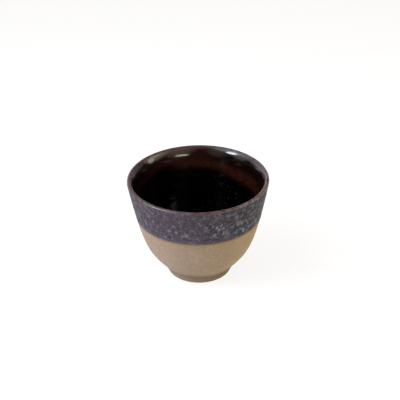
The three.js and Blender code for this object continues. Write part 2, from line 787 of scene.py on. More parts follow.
        from_line = g.math("ABSOLUTE", g.minus(height, given["Line Height"]))
        near_line = g.step(from_line, self.LINE_REACH, 0.0)
        sway = g.swing(g.noise(around, *self.LINE_NOISE), given["Line Wave"])
        line = g.times(sway, g.times(near_line, self.WHOLE_SWING))
        groove = self._spiral(g, radius, given["Turning Pitch"], angle)
        under = g.math("LESS_THAN", height, given["Turning Height"])
        within = g.step(radius, given["Turning Radius"], g.minus(given["Turning Radius"], self.MARK_FADE))
        inward = g.step(radius, 0.0, self.MARK_FADE)
        depth = g.times(g.times(under, within), g.times(inward, given["Turning"]))
        return radius_out, g.plus(height, g.plus(line, g.times(groove, depth)))

    def turn(self, name: str, outline: Outline, hand: Hand, section: CupSection, turning_radius: float,
             finish: bpy.types.Material) -> bpy.types.Object:
        """Turns an outline into a finished mesh.

        Args:
            name: The piece's name.
            outline: Points that go up the outside and down the inside.
            hand: The traces on it.
            section: The cup's section.
            turning_radius: How far out the turning marks reach.
            finish: Its material.

        Returns:
            The piece.
        """
        mesh = bpy.data.meshes.new(name + " outline")
        links = [(i, i + 1) for i in range(len(outline) - 1)]
        mesh.from_pydata([(p.x, 0.0, p.y) for p in outline], links, [])
        return self.run(name, mesh, {
            "Segments": self.SEGMENTS,
            "Wobble": hand.wobble,
            "Ripple": hand.ripple,
            "Ripple Pitch": hand.ripple_pitch,
            "Ripple Top": hand.ripple_top,
            "Line Height": section.glaze_line,
            "Line Wave": hand.line_wave,
            "Turning": hand.turning,
            "Turning Pitch": hand.turning_pitch,
            "Turning Height": section.foot_height + self.UNDERSIDE_MARGIN,
            "Turning Radius": turning_radius,
            "Finish": finish,
        })


class GrainTree(MeshTree):
    """Geometry Nodes tree that sets grains of grog into a bare clay wall."""

    NAME = "grog grains"
    INPUTS = (
        ("Top", Kind.NUMBER),
        ("Density", Kind.NUMBER),
        ("Smallest", Kind.NUMBER),
        ("Largest", Kind.NUMBER),
        ("Sunk", Kind.NUMBER),
        ("Seed", Kind.COUNT),
        ("Finish", Kind.MATERIAL),
    )
    SEED = 7
    # Least share of a face's normal that points away from the axis where grains show.
    FACING = 0.3

    def _link(self) -> None:
        """Adds the tree's nodes."""
        g = Graph(self.tree)
        given = g.add("NodeGroupInput").outputs
        place = g.add("GeometryNodeInputPosition").outputs[0]
        outward = g.vector("NORMALIZE", g.vector("MULTIPLY", place, (1.0, 1.0, 0.0)))
        normal = g.add("GeometryNodeInputNormal").outputs[0]
        facing = g.math("GREATER_THAN", g.vector("DOT_PRODUCT", normal, outward, output=1), self.FACING)
        height = g.add("ShaderNodeSeparateXYZ", {0: place}).outputs[2]
        bare = g.times(facing, g.math("LESS_THAN", height, given["Top"]))
        points = g.add("GeometryNodeDistributePointsOnFaces",
                       {"Mesh": given["Geometry"], "Selection": bare, "Density": given["Density"],
                        "Seed": given["Seed"]})
        size = self._random(g, given["Smallest"], given["Largest"], given["Seed"])
        sized = g.add("GeometryNodeStoreNamedAttribute",
                      {"Geometry": points.outputs["Points"], "Name": "size", "Value": size},
                      data_type="FLOAT", domain="POINT").outputs[0]
        stored = g.add("GeometryNodeInputNamedAttribute", {"Name": "size"}, data_type="FLOAT").outputs[0]
        inward = g.times(stored, g.times(given["Sunk"], -1.0))
        sunk = g.add("GeometryNodeSetPosition",
                     {"Geometry": sized, "Offset": g.vector("SCALE", points.outputs["Normal"], Scale=inward)})
        grain = g.add("GeometryNodeMeshIcoSphere", {"Radius": 1.0, "Subdivisions": 1}).outputs[0]
        turn = g.add("FunctionNodeRandomValue",
                     {0: (0.0, 0.0, 0.0), 1: (math.tau, math.tau, math.tau), "Seed": given["Seed"]},
                     data_type="FLOAT_VECTOR").outputs[0]
        copies = g.add("GeometryNodeInstanceOnPoints",
                       {"Points": sunk.outputs[0], "Instance": grain, "Rotation": turn, "Scale": stored})
        tone = self._random(g, 0.0, 1.0, given["Seed"])
        toned = g.add("GeometryNodeStoreNamedAttribute",
                      {"Geometry": copies.outputs[0], "Name": "tone", "Value": tone},
                      data_type="FLOAT", domain="INSTANCE").outputs[0]
        real = g.add("GeometryNodeRealizeInstances", {"Geometry": toned})
        dressed = g.add("GeometryNodeSetMaterial", {"Geometry": real.outputs[0], "Material": given["Finish"]})
        g.add("NodeGroupOutput", {"Geometry": dressed.outputs[0]})

    @staticmethod
    def _random(g: Graph, low: Feed, high: Feed, seed: Feed) -> Socket:
        """A random number for each point.

        Args:
            g: The tree's graph.
            low: The lowest value.
            high: The highest value.
            seed: The seed.

        Returns:
            The number.
        """
        return g.add("FunctionNodeRandomValue", {2: low, 3: high, "Seed": seed}, data_type="FLOAT").outputs[1]

    def scatter(self, name: str, wall: bpy.types.Object, top: float, grains: Grog,
                finish: bpy.types.Material) -> bpy.types.Object:
        """Sets grains into a wall.

        Args:
            name: The new piece's name.
            wall: The piece that carries the grains.
            top: The height that the grains reach.
            grains: Sizes and number of the grains.
            finish: Their material.

        Returns:
            The grains as one piece.
        """
        return self.run(name, wall.data.copy(), {
            "Top": top,
            "Density": grains.per_square_metre,
            "Smallest": grains.smallest,
            "Largest": grains.largest,
            "Sunk": grains.sunk,
            "Seed": self.SEED,
            "Finish": finish,
        })


class Effects:
    """Surface effects that several finishes share, each a node group built once."""

    # Detail and roughness of the noises.
    CLOUD_NOISE = (4.0, 0.6)
    SAND_NOISE = (3.0, 0.7)
    COARSE_NOISE = (2.0, 0.5)
    # Share of the greatest radius that a speck has, by its lot, and the share of it before the edge softens.
    SPECK_SIZES = Slope(0.3, 0.7)
    SPECK_CORE = 0.4
    # Scale of the coarse sand beside the fine, and the share that each has in the height.
    COARSE_SCALE = 0.27
    SAND_SHARE = 0.6
    COARSE_SHARE = 0.4

    def __init__(self) -> None:
        """Builds the groups."""
        self.mottle = self._mottle()
        self.specks = self._specks()
        self.tooth = self._tooth()

    @staticmethod
    def _group(name: str, numbers: Sequence[str], output: str) -> bpy.types.NodeTree:
        """A shader group with its sockets and no nodes.

        Args:
            name: The group's name.
            numbers: Names of its inputs beside the vector.
            output: Name of its one output, a number.

        Returns:
            The group.
        """
        tree = bpy.data.node_groups.new(name, "ShaderNodeTree")
        add_sockets(tree, "INPUT", [("Vector", Kind.VECTOR), *((label, Kind.NUMBER) for label in numbers)])
        add_sockets(tree, "OUTPUT", [(output, Kind.NUMBER)])
        return tree

    def _mottle(self) -> bpy.types.NodeTree:
        """Soft cloudy patches, from 0 to 1 with the contrast drawn out.

        Returns:
            The group.
        """
        tree = self._group("mottle", ("Scale", "Contrast"), "Patches")
        g = Graph(tree)
        given = g.add("NodeGroupInput").outputs
        cloud = g.noise(given["Vector"], given["Scale"], *self.CLOUD_NOISE)
        spread = g.plus(g.swing(cloud, given["Contrast"]), Graph.MIDDLE)
        clipped = g.add("ShaderNodeClamp", {"Value": spread}).outputs[0]
        g.add("NodeGroupOutput", {"Patches": clipped})
        return tree

    def _specks(self) -> bpy.types.NodeTree:
        """Scattered round specks of mixed size, as a mask.

        Returns:
            The group.
        """
        tree = self._group("specks", ("Scale", "Share", "Radius"), "Mask")
        g = Graph(tree)
        given = g.add("NodeGroupInput").outputs
        cells = g.add("ShaderNodeTexVoronoi", {"Vector": given["Vector"], "Scale": given["Scale"]})
        lot = g.add("ShaderNodeSeparateColor", {0: cells.outputs["Color"]}).outputs
        chosen = g.math("LESS_THAN", lot[0], given["Share"])
        reach = g.times(given["Radius"], self.SPECK_SIZES.over(g, lot[1]))
        spot = g.step(cells.outputs["Distance"], reach, g.times(reach, self.SPECK_CORE))
        g.add("NodeGroupOutput", {"Mask": g.times(spot, chosen)})
        return tree

    def _tooth(self) -> bpy.types.NodeTree:
        """Fine sandy roughness, as a height from 0 to 1.

        Returns:
            The group.
        """
        tree = self._group("tooth", ("Scale",), "Height")
        g = Graph(tree)
        given = g.add("NodeGroupInput").outputs
        sand = g.noise(given["Vector"], given["Scale"], *self.SAND_NOISE)
        coarse = g.noise(given["Vector"], g.times(given["Scale"], self.COARSE_SCALE), *self.COARSE_NOISE)
        height = g.plus(g.times(sand, self.SAND_SHARE), g.times(coarse, self.COARSE_SHARE))
        g.add("NodeGroupOutput", {"Height": height})
        return tree


@dataclass(frozen=True)
class Mottle:
    """Soft cloudy patches in a finish.

    Attributes:
        scale: Patches to a millimetre.
        contrast: How far they are drawn out towards 0 and 1.
    """

    scale: float
    contrast: float


@dataclass(frozen=True)
class Specks:
    """Round specks in a finish, at most one to a cell.

    Attributes:
        scale: Cells to a millimetre.
        radius: Greatest radius of a speck, in cells.
    """

    scale: float
    radius: float


class Surface:
    """One material under way: its graph, its coordinates in millimetres and its shader."""

    def __init__(self, name: str, effects: Effects) -> None:
        """Starts a material.

        Args:
            name: The material's name.
            effects: The shared effects.
        """
        self.material = bpy.data.materials.new(name)
        self.material.use_nodes = True
        tree = self.material.node_tree
        tree.nodes.clear()
        self.effects = effects
        self.g = Graph(tree)
        place = self.g.add("ShaderNodeTexCoord").outputs["Object"]
        self.mm = self.g.vector("SCALE", place, Scale=1 / MM)
        self.across, back, self.height = self.g.add("ShaderNodeSeparateXYZ", {0: self.mm}).outputs
        self.radius = self.g.vector("LENGTH", self.g.combine(self.across, back, 0.0), output=1)

    def _effect(self, group: bpy.types.NodeTree, feeds: Mapping[str, Feed]) -> Socket:
        """Places a shared effect, on millimetres unless another vector is fed.

        Args:
            group: The effect's node group.
            feeds: Its inputs by name.

        Returns:
            Its output.
        """
        return self.g.add("ShaderNodeGroup", {"Vector": self.mm, **feeds}, node_tree=group).outputs[0]

    def mottle(self, patches: Mottle, **feeds: Feed) -> Socket:
        """A mask of cloudy patches; a Vector may be fed."""
        feeds = {"Scale": patches.scale, "Contrast": patches.contrast, **feeds}
        return self._effect(self.effects.mottle, feeds)

    def specks(self, specks: Specks, share: Feed) -> Socket:
        """A mask of specks, in a share of their cells."""
        feeds = {"Scale": specks.scale, "Share": share, "Radius": specks.radius}
        return self._effect(self.effects.specks, feeds)

    def tooth(self, scale: float) -> Socket:
        """The height of sand, by its grains to a millimetre."""
        return self._effect(self.effects.tooth, {"Scale": scale})

    def bump(self, height: Feed, distance: float, under: Optional[Socket] = None) -> Socket:
        """A bump in the surface.

        Args:
            height: Its height, from 0 to 1.
            distance: What a height of 1 measures.
            under: A bump that this one lies on.

        Returns:
            The normal.
        """
        feeds: dict[Union[str, int], Feed] = {"Height": height, "Distance": distance, "Strength": 1.0}
        if under is not None:
            feeds["Normal"] = under
        return self.g.add("ShaderNodeBump", feeds).outputs[0]

    def shade(self, colour: Feed, roughness: Feed, normal: Optional[Socket], specular: float,
              dusty: float = 0.0, coat: Feed = 0.0, coat_roughness: float = 0.1) -> bpy.types.Material:
        """Ends the material in its shader.

        Args:
            colour: The base colour.
            roughness: The roughness.
            normal: The bumped normal, if there is one.
            specular: The specular level.
            dusty: How rough the surface is to its scattered light.
            coat: Where a clear glassy skin lies on it.
            coat_roughness: The roughness of that skin.

        Returns:
            The material.
        """
        feeds: dict[Union[str, int], Feed] = {
            "Base Color": Graph.rgba(colour), "Roughness": roughness, "Specular IOR Level": specular,
            "Diffuse Roughness": dusty, "Coat Weight": coat, "Coat Roughness": coat_roughness}
        if normal is not None:
            feeds["Normal"] = normal
        shader = self.g.add("ShaderNodeBsdfPrincipled", feeds)
        self.g.add("ShaderNodeOutputMaterial", {"Surface": shader.outputs[0]})
        return self.material


@dataclass(frozen=True)
class BareClay:
    """Unglazed fired stoneware: matte, sandy, with iron specks and a flash of orange by the glaze.

    Attributes:
        light: Colour of its light patches.
        dark: Colour of its dark patches.
        flash: Colour that the glaze draws into the clay beside it.
        iron: Colour of the iron specks.
        pale: Colour of the pale specks.
        painted_cool_light: Painted light: the cool tint of the left side, lit by the bluish lamps.
        painted_warm_light: Painted light: the warm tint of the right side, lit by the warm lamps.
        halo: Tint of the wider warm zone under the glaze.
        broad: Its wide patches.
        fine: Its fine patches.
        grain: Its finest patches.
        broad_share: Share of the wide patches in its tone.
        fine_share: Share of the fine patches in it, and of the finest.
        flash_zone: Where the flash sets in, over the glaze line.
        flash_patches: How strong the flash is, by the fine patches.
        halo_zone: Where the halo sets in, over the glaze line.
        halo_side: How strong the halo is, from left to right.
        painted_light_side: Where the painted cool light gives way to the painted warm light, from left to
            right.
        iron_specks: The iron specks.
        iron_share: Share of the cells that hold one.
        iron_cover: How well they cover.
        pale_specks: The pale specks.
        pale_share: Share of the cells that hold one.
        pale_cover: How well they cover.
        painted_shade_above_joint: Painted shade, as the share of the colour that is left, up the bowl from
            the crease where the foot meets it.
        painted_shade_below_joint: Painted shade, as the share of the colour that is left, from the crease
            down to the bottom of the foot.
        sand: Grains of its sand to a millimetre.
        roughness: Its roughness, by the sand.
        line_pitch: Turning lines to a millimetre of height.
        line_noise: Scale and detail of the noise that makes them.
        line_depth: Their depth.
        sand_depth: Depth of the sand.
        speck_depth: How far pale specks stand out and iron specks lie in.
        specular: Its specular level.
        dusty: How rough it is to its scattered light.
    """

    light: Colour = (0.458, 0.352, 0.246)
    dark: Colour = (0.256, 0.193, 0.131)
    flash: Colour = (0.252, 0.148, 0.074)
    iron: Colour = (0.12, 0.075, 0.04)
    pale: Colour = (0.52, 0.44, 0.35)
    # Painted light: tints for the left and right sides of the clay.
    painted_cool_light: Colour = (1.09, 1.06, 1.22)
    painted_warm_light: Colour = (1.08, 1.07, 0.92)
    halo: Colour = (1.0, 0.985, 0.86)
    broad: Mottle = Mottle(0.055, 1.8)
    fine: Mottle = Mottle(0.42, 2.4)
    grain: Mottle = Mottle(1.0, 3.0)
    broad_share: float = 0.28
    fine_share: float = 0.36
    flash_zone: Ramp = Ramp(-2.4, -0.3)
    flash_patches: Slope = Slope(0.5, 0.5)
    halo_zone: Ramp = Ramp(-7.0, -0.5)
    halo_side: Ramp = Ramp(-30.0, 20.0, 0.3, 1.0)
    painted_light_side: Ramp = Ramp(-42.0, 42.0)
    iron_specks: Specks = Specks(1.1, 0.22)
    iron_share: float = 0.16
    iron_cover: float = 0.75
    pale_specks: Specks = Specks(1.7, 0.25)
    pale_share: float = 0.2
    pale_cover: float = 0.5
    # Painted shade: the crease where the foot meets the bowl is darkened, and so is the foot below it.
    painted_shade_above_joint: Ramp = Ramp(0.0, 6.5, 0.62, 1.0)
    painted_shade_below_joint: Ramp = Ramp(-0.4, -4.5, 0.62, 0.73)
    sand: float = 3.2
    roughness: Slope = Slope(0.78, 0.16)
    line_pitch: float = 2.2
    line_noise: tuple[float, ...] = (1.0, 3.0)
    line_depth: float = 0.03 * MM
    sand_depth: float = 0.09 * MM
    speck_depth: float = 0.03 * MM
    specular: float = 0.3
    dusty: float = 0.6

    def build(self, name: str, effects: Effects, section: CupSection) -> bpy.types.Material:
        """Makes the material.

        Args:
            name: Its name.
            effects: The shared effects.
            section: The cup's section.

        Returns:
            The material.
        """
        s = Surface(name, effects)
        g = s.g
        broad, fine, grain = s.mottle(self.broad), s.mottle(self.fine), s.mottle(self.grain)
        finer = g.plus(g.times(fine, self.fine_share), g.times(grain, self.fine_share))
        colour = g.blend(g.plus(g.times(broad, self.broad_share), finer), self.dark, self.light)
        line = section.glaze_line / MM
        flashed = g.times(self.flash_zone.over(g, s.height, line), self.flash_patches.over(g, fine))
        colour = g.blend(flashed, colour, self.flash)
        halo = g.times(self.halo_zone.over(g, s.height, line), self.halo_side.over(g, s.across))
        colour = g.blend(halo, colour, self.halo, "MULTIPLY")
        # Painted light: the left side is tinted cool and the right side warm, as the lamps on each side
        # colour it.
        painted_light_side = g.blend(self.painted_light_side.over(g, s.across), self.painted_cool_light, self.painted_warm_light)
        colour = g.blend(1.0, colour, painted_light_side, "MULTIPLY")
        iron = s.specks(self.iron_specks, self.iron_share)
        colour = g.blend(g.times(iron, self.iron_cover), colour, self.iron)
        pale = s.specks(self.pale_specks, self.pale_share)
        colour = g.blend(g.times(pale, self.pale_cover), colour, self.pale)
        # Painted shade: darker in the crease where the foot meets the bowl and over the foot below it.
        joint = section.foot_height / MM
        left = g.larger(self.painted_shade_above_joint.over(g, s.height, joint), self.painted_shade_below_joint.over(g, s.height, joint))
        shade = g.add("ShaderNodeCombineColor", {0: left, 1: left, 2: left}).outputs[0]
        colour = g.blend(1.0, colour, shade, "MULTIPLY")
        sand = s.tooth(self.sand)
        lines = g.noise(g.combine(0.0, s.radius, g.times(s.height, self.line_pitch)), *self.line_noise)
        normal = s.bump(lines, self.line_depth)
        normal = s.bump(sand, self.sand_depth, normal)
        normal = s.bump(g.minus(pale, iron), self.speck_depth, normal)
        return s.shade(colour, self.roughness.over(g, sand), normal, self.specular, self.dusty)


@dataclass(frozen=True)
class GrogFinish:
    """Grains of grog, each a tone between two colours.

    Attributes:
        dark: Colour of the darkest grain.
        light: Colour of the lightest grain.
        roughness: Roughness of a grain, by its tone.
        specular: Specular level of all grains.
    """

    dark: Colour = (0.19, 0.13, 0.085)
    light: Colour = (0.50, 0.42, 0.33)
    roughness: Slope = Slope(0.8, 0.1)
    specular: float = 0.3

    def build(self, name: str, effects: Effects) -> bpy.types.Material:
        """Makes the material.

        Args:
            name: Its name.
            effects: The shared effects.

        Returns:
            The material.
        """
        s = Surface(name, effects)
        tone = s.g.add("ShaderNodeAttribute", attribute_name="tone").outputs["Fac"]
        colour = s.g.blend(tone, self.dark, self.light)
        return s.shade(colour, self.roughness.over(s.g, tone), None, self.specular)


@dataclass(frozen=True)
class BandGlaze:
    """Satin grey-violet glaze with soft pale blotches, greyer and darker towards one side, the darkening
    partly painted shade.

    Attributes:
        violet: Colour of the ground on the violet side.
        shaded_grey: Colour of the ground on the grey side; its grey is the glaze's own, its darkness partly
            painted shade.
        dark: Colour of the dark spots.
        blotch: Colour of the pale blotches.
        edge: Colour of the thick lower edge.
        broad: Its wide patches.
        clouds: Its soft clouds.
        stretch: Stretch of the clouds and blotches along each axis.
        side: Where violet gives way to the darker grey, from left to right; the darkening on the right is
            partly painted shade.
        side_sway: How far the wide patches move that border.
        dark_clouds: How dark the clouds are, by their tone.
        right_start: Where the thick glaze on the right starts, from left to right.
        right_end: Where it thins again beyond that.
        right_top: Where it thins upwards, over the glaze line.
        left: Where it is thick on the far left.
        low: Where it is thick low down, over the glaze line.
        broken: How the wide patches thin it.
        blotch_noise: Scale, detail and roughness of the blotches' noise.
        blotch_offset: Where that noise is read, so that it doesn't follow the clouds.
        blotch_lean: How much more of it there is on the grey side.
        blotch_edge: Where the noise turns into blotches.
        fleck_noise: Scale, detail and roughness of the finer flecks' noise.
        fleck_edge: Where that noise turns into flecks, and how pale they get.
        cover: How well blotches and flecks cover.
        edge_zone: Where the lower edge is thick, over the glaze line.
        edge_side: How strong its colour is, from left to right.
        roughness: Its roughness, by the blotches and flecks.
        swell_noise: Scale and detail of its slow swell.
        swell_depth: Depth of the swell.
        patch_depth: Depth of clouds, blotches and flecks.
        specular: Its specular level.
    """

    violet: Colour = (0.069, 0.047, 0.070)
    shaded_grey: Colour = (0.028, 0.0255, 0.029)
    dark: Colour = (0.026, 0.019, 0.023)
    blotch: Colour = (0.205, 0.217, 0.236)
    edge: Colour = (0.090, 0.089, 0.122)
    broad: Mottle = Mottle(0.09, 2.4)
    clouds: Mottle = Mottle(0.5, 2.6)
    stretch: Axes = (1.0, 1.0, 0.8)
    side: Ramp = Ramp(-12.0, 34.0)
    side_sway: float = 40.0
    dark_clouds: Ramp = Ramp(0.45, 0.05, 0.0, 0.85)
    right_start: Ramp = Ramp(-6.0, 10.0)
    right_end: Ramp = Ramp(36.0, 22.0, 0.4, 1.0)
    right_top: Ramp = Ramp(22.0, 15.0, 0.3, 1.0)
    left: Ramp = Ramp(-24.0, -36.0, 0.0, 0.45)
    low: Ramp = Ramp(18.0, 5.0, 0.55, 0.9)
    broken: Ramp = Ramp(0.1, 0.7, 0.5, 1.0)
    blotch_noise: tuple[float, ...] = (0.40, 2.5, 0.6)
    blotch_offset: Axes = (31.0, 7.0, 3.0)
    blotch_lean: float = 0.03
    blotch_edge: Ramp = Ramp(0.48, 0.70)
    fleck_noise: tuple[float, ...] = (0.7, 2.0, 0.6)
    fleck_edge: Ramp = Ramp(0.47, 0.74, 0.0, 0.42)
    cover: float = 0.9
    edge_zone: Ramp = Ramp(3.4, 1.0)
    edge_side: Ramp = Ramp(2.0, 26.0, 0.62, 0.26)
    roughness: Slope = Slope(0.62, -0.14)
    swell_noise: tuple[float, ...] = (0.45, 2.0)
    swell_depth: float = 0.10 * MM
    patch_depth: float = 0.035 * MM
    specular: float = 0.15

    def ground(self, s: Surface, section: CupSection) -> tuple[Socket, Socket, Socket]:
        """The glaze away from its lower edge, with most of its blotches low down and at both sides.

        Args:
            s: The material under way.
            section: The cup's section.

        Returns:
            Its colour, and masks of the soft clouds and of the pale blotches and flecks in it.
        """
        g = s.g
        tall = g.vector("MULTIPLY", s.mm, self.stretch)
        broad, cloud = s.mottle(self.broad), s.mottle(self.clouds, Vector=tall)
        side = self.side.over(g, g.plus(s.across, g.swing(broad, self.side_sway)))
        # Partly painted shade: the ground turns to a darker grey towards the right.
        colour = g.blend(side, self.violet, self.shaded_grey)
        colour = g.blend(self.dark_clouds.over(g, cloud), colour, self.dark)
        line = section.glaze_line / MM
        right = g.times(self.right_start.over(g, s.across), self.right_end.over(g, s.across))
        right = g.times(right, self.right_top.over(g, s.height, line))
        thick = g.larger(right, self.left.over(g, s.across))
        thick = g.larger(thick, self.low.over(g, s.height, line))
        patch = g.times(self.broken.over(g, broad), thick)
        noise = g.noise(g.vector("ADD", tall, self.blotch_offset), *self.blotch_noise)
        spread = g.plus(noise, g.times(side, self.blotch_lean))
        blotches = g.times(self.blotch_edge.over(g, spread), patch)
        pale = g.larger(blotches, self.fleck_edge.over(g, g.noise(s.mm, *self.fleck_noise)))
        return g.blend(g.times(pale, self.cover), colour, self.blotch), cloud, pale

    def build(self, name: str, effects: Effects, section: CupSection) -> bpy.types.Material:
        """Makes the material.

        Args:
            name: Its name.
            effects: The shared effects.
            section: The cup's section.

        Returns:
            The material.
        """
        s = Surface(name, effects)
        g = s.g
        colour, cloud, pale = self.ground(s, section)
        line = section.glaze_line / MM
        edge = g.times(self.edge_zone.over(g, s.height, line), self.edge_side.over(g, s.across))
        colour = g.blend(edge, colour, self.edge)
        normal = s.bump(g.noise(s.mm, *self.swell_noise), self.swell_depth)
        normal = s.bump(g.plus(cloud, pale), self.patch_depth, normal)
        return s.shade(colour, self.roughness.over(g, pale), normal, self.specular)


@dataclass(frozen=True)
class LipGlaze:
    """Thin satin glaze that breaks to mauve-brown over the edge of the lip.

    Attributes:
        mauve: Colour of its pale patches.
        brown: Colour of its dark patches.
        worn: Colour of the grey patches on one side.
        band: The glaze that it meets on the outside.
        patches: Its patches.
        slant: Climb of the border with the band, to a millimetre outwards.
        drift: How far the patches move that border.
        border_start: Where the border starts, from left to right.
        border_end: Where it ends, from left to right.
        worn_patches: Which patches are worn.
        worn_side: How worn they are, from left to right.
        inner: Where the inside of the lip is, from its middle.
        roughness: Its roughness on the crown.
        outer_roughness: How much rougher it is by the band.
        inner_gloss: How much smoother it is inside.
        sand: Grains of its sand to a millimetre.
        patch_depth: Depth of the patches.
        sand_depth: Depth of the sand.
        specular: Its specular level.
        coat: Its glassy skin, from the band to the crown.
        coat_roughness: The roughness of that skin.
    """

    mauve: Colour = (0.118, 0.066, 0.070)
    brown: Colour = (0.050, 0.025, 0.026)
    worn: Colour = (0.17, 0.14, 0.125)
    band: BandGlaze = BandGlaze()
    patches: Mottle = Mottle(0.35, 3.0)
    slant: float = 0.7
    drift: float = 0.5
    border_start: Ramp = Ramp(0.0, 24.0, -0.1, 0.3)
    border_end: Ramp = Ramp(0.0, 24.0, 0.6, 1.1)
    worn_patches: Ramp = Ramp(0.35, 0.8)
    worn_side: Ramp = Ramp(6.0, 22.0, 0.0, 0.62)
    inner: Ramp = Ramp(0.0, -1.0)
    roughness: float = 0.36
    outer_roughness: float = 0.24
    inner_gloss: float = 0.2
    sand: float = 2.4
    patch_depth: float = 0.05 * MM
    sand_depth: float = 0.012 * MM
    specular: float = 0.2
    coat: Ramp = Ramp(1.0, 0.0, 0.0, 0.85)
    coat_roughness: float = 0.26

    def build(self, name: str, effects: Effects, section: CupSection) -> bpy.types.Material:
        """Makes the material.

        Args:
            name: Its name.
            effects: The shared effects.
            section: The cup's section.

        Returns:
            The material.
        """
        s = Surface(name, effects)
        g = s.g
        patches = s.mottle(self.patches)
        colour = g.blend(patches, self.brown, self.mauve)
        centre = section.lip_centre / MM
        out = g.minus(s.radius, centre.x)
        slant = g.minus(g.times(out, self.slant), g.minus(s.height, centre.y))
        border = self.border_start.over(g, s.across), self.border_end.over(g, s.across)
        outer = g.step(g.plus(slant, g.swing(patches, self.drift)), *border)
        ground, _, _ = self.band.ground(s, section)
        colour = g.blend(outer, colour, ground)
        worn = g.times(self.worn_patches.over(g, patches), self.worn_side.over(g, s.across))
        colour = g.blend(worn, colour, self.worn)
        gloss = g.times(self.inner.over(g, out), self.inner_gloss)
        rough = g.plus(self.roughness, g.minus(g.times(outer, self.outer_roughness), gloss))
        normal = s.bump(patches, self.patch_depth)
        normal = s.bump(s.tooth(self.sand), self.sand_depth, normal)
        return s.shade(colour, rough, normal, self.specular, coat=self.coat.over(g, outer),
                       coat_roughness=self.coat_roughness)


@dataclass(frozen=True)
class LinerGlaze:
    """Glossy iron glaze: plum-brown by the lip, rust where it thins, and black below.

    The edge of the black tilts like the shadow that the rim casts under a lamp on the left, so the black
    there is partly painted shadow; the rust is stronger on the right, where that lamp lights the wall, as
    painted light.

    Attributes:
        lip: Colour at the lip, where it runs out.
        plum: Colour under that.
        deep_plum: That colour on the side where the glaze is thick.
        rust: Colour of the broken ring where it is strong; the glaze's own rust, partly painted light where
            the lamp lights the wall.
        shaded_faint_rust: Colour of the ring where it is weak, darkened as painted shade.
        black_and_shadow: Colour below it: the glaze's own black, and painted shadow where the ring is not
            lit.
        crystal_and_glint: Colour of the few pale crystals, which also stand in for glints as painted
            highlights.
        runs: Patches that ran down the wall.
        run_stretch: Stretch of those patches along each axis.
        run_drift: How far they move the edge of the black.
        clouds: Its wide patches.
        breaks: Patches that break the ring.
        fine: Its fine patches.
        fine_cover: How well they cover the ring.
        edge: Height of the edge of the black and its painted shadow, in the middle.
        shadow_left_rise: How far that edge of painted shadow climbs, from the middle to the left.
        shadow_far_left_drop: How far that edge of painted shadow comes down again at the far left.
        shadow_right_fall: How far that edge of painted shadow falls, from the middle to the right.
        black_and_shadow_zone: Where black and painted shadow give way to the ring, over that edge.
        painted_light_rust_side: Where weak rust gives way to strong, from left to right, as painted light.
        plum_zone: Where rust gives way to plum, over the edge of the black.
        plum_fall: Share of the fall to the right that the plum follows.
        plum_left: How far it comes down at the far left.
        plum_clouds: How strong it is, by the wide patches.
        break_patches: Which of the breaking patches show.
        break_side: How strong they are, from left to right.
        deep_side: Where plum gives way to deep plum, from left to right.
        painted_shadow_far_left: Where it gives way to black at the far left, as painted shadow.
        lip_zone: Where the colour of the lip sets in, over the crown.
        deep: Where the smooth black of the well sets in, by height.
        crystals_and_glints: The crystals, which are also painted glints.
        crystal_and_glint_side: Share of the cells that hold a crystal or painted glint, from left to right.
        crystal_and_glint_low: That share by height.
        crystal_and_glint_cover: How well the crystals and painted glints cover.
        roughness: Its roughness by the lip.
        run_roughness: How much rougher the runs are.
        deep_gloss: How much smoother the well is.
        run_depth: Depth of the runs.
        crystal_depth: How far the crystals stand out.
        specular: Its specular level.
        coat: Its glassy skin, by height.
        coat_roughness: The roughness of that skin.
    """

    lip: Colour = (0.060, 0.032, 0.032)
    plum: Colour = (0.0188, 0.0060, 0.0054)
    deep_plum: Colour = (0.0038, 0.0013, 0.0012)
    rust: Colour = (0.0318, 0.0085, 0.0041)
    shaded_faint_rust: Colour = (0.0105, 0.0033, 0.0020)
    black_and_shadow: Colour = (0.0004, 0.0003, 0.0003)
    crystal_and_glint: Colour = (0.09, 0.095, 0.108)
    runs: Mottle = Mottle(0.22, 2.2)
    run_stretch: Axes = (1.0, 1.0, 0.22)
    run_drift: float = 2.0
    clouds: Mottle = Mottle(0.12, 2.0)
    breaks: Mottle = Mottle(0.32, 3.0)
    fine: Mottle = Mottle(0.62, 3.0)
    fine_cover: float = 0.45
    edge: float = 53.7
    shadow_left_rise: Ramp = Ramp(-6.0, -24.0, 0.0, 3.2)
    shadow_far_left_drop: Ramp = Ramp(-24.0, -33.0, 0.0, 2.4)
    shadow_right_fall: Ramp = Ramp(3.0, 29.0, 0.0, 4.6)
    black_and_shadow_zone: Ramp = Ramp(-2.2, 2.6)
    painted_light_rust_side: Ramp = Ramp(-34.0, -4.0)
    plum_zone: Ramp = Ramp(3.0, 7.4)
    plum_fall: float = 0.45
    plum_left: Ramp = Ramp(-20.0, -34.0, 0.0, 1.6)
    plum_clouds: Ramp = Ramp(0.1, 0.6, 0.6, 1.0)
    break_patches: Ramp = Ramp(0.5, 0.1)
    break_side: Ramp = Ramp(6.0, 24.0, 0.2, 0.85)
    deep_side: Ramp = Ramp(-4.0, 18.0)
    painted_shadow_far_left: Ramp = Ramp(-22.0, -38.0, 0.0, 0.9)
    lip_zone: Ramp = Ramp(-2.6, -0.3)
    deep: Ramp = Ramp(52.0, 44.0)
    # Painted highlight: the pale crystal specks also stand in for small glints.
    crystals_and_glints: Specks = Specks(0.8, 0.36)
    crystal_and_glint_side: Ramp = Ramp(2.0, 14.0, 0.05, 0.26)
    crystal_and_glint_low: Ramp = Ramp(30.0, 20.0, 0.05, 0.22)
    crystal_and_glint_cover: float = 0.8
    roughness: float = 0.09
    run_roughness: float = 0.06
    deep_gloss: float = 0.05
    run_depth: float = 0.04 * MM
    crystal_depth: float = 0.02 * MM
    specular: float = 0.24
    coat: Ramp = Ramp(36.0, 48.0, 0.0, 0.55)
    coat_roughness: float = 0.07

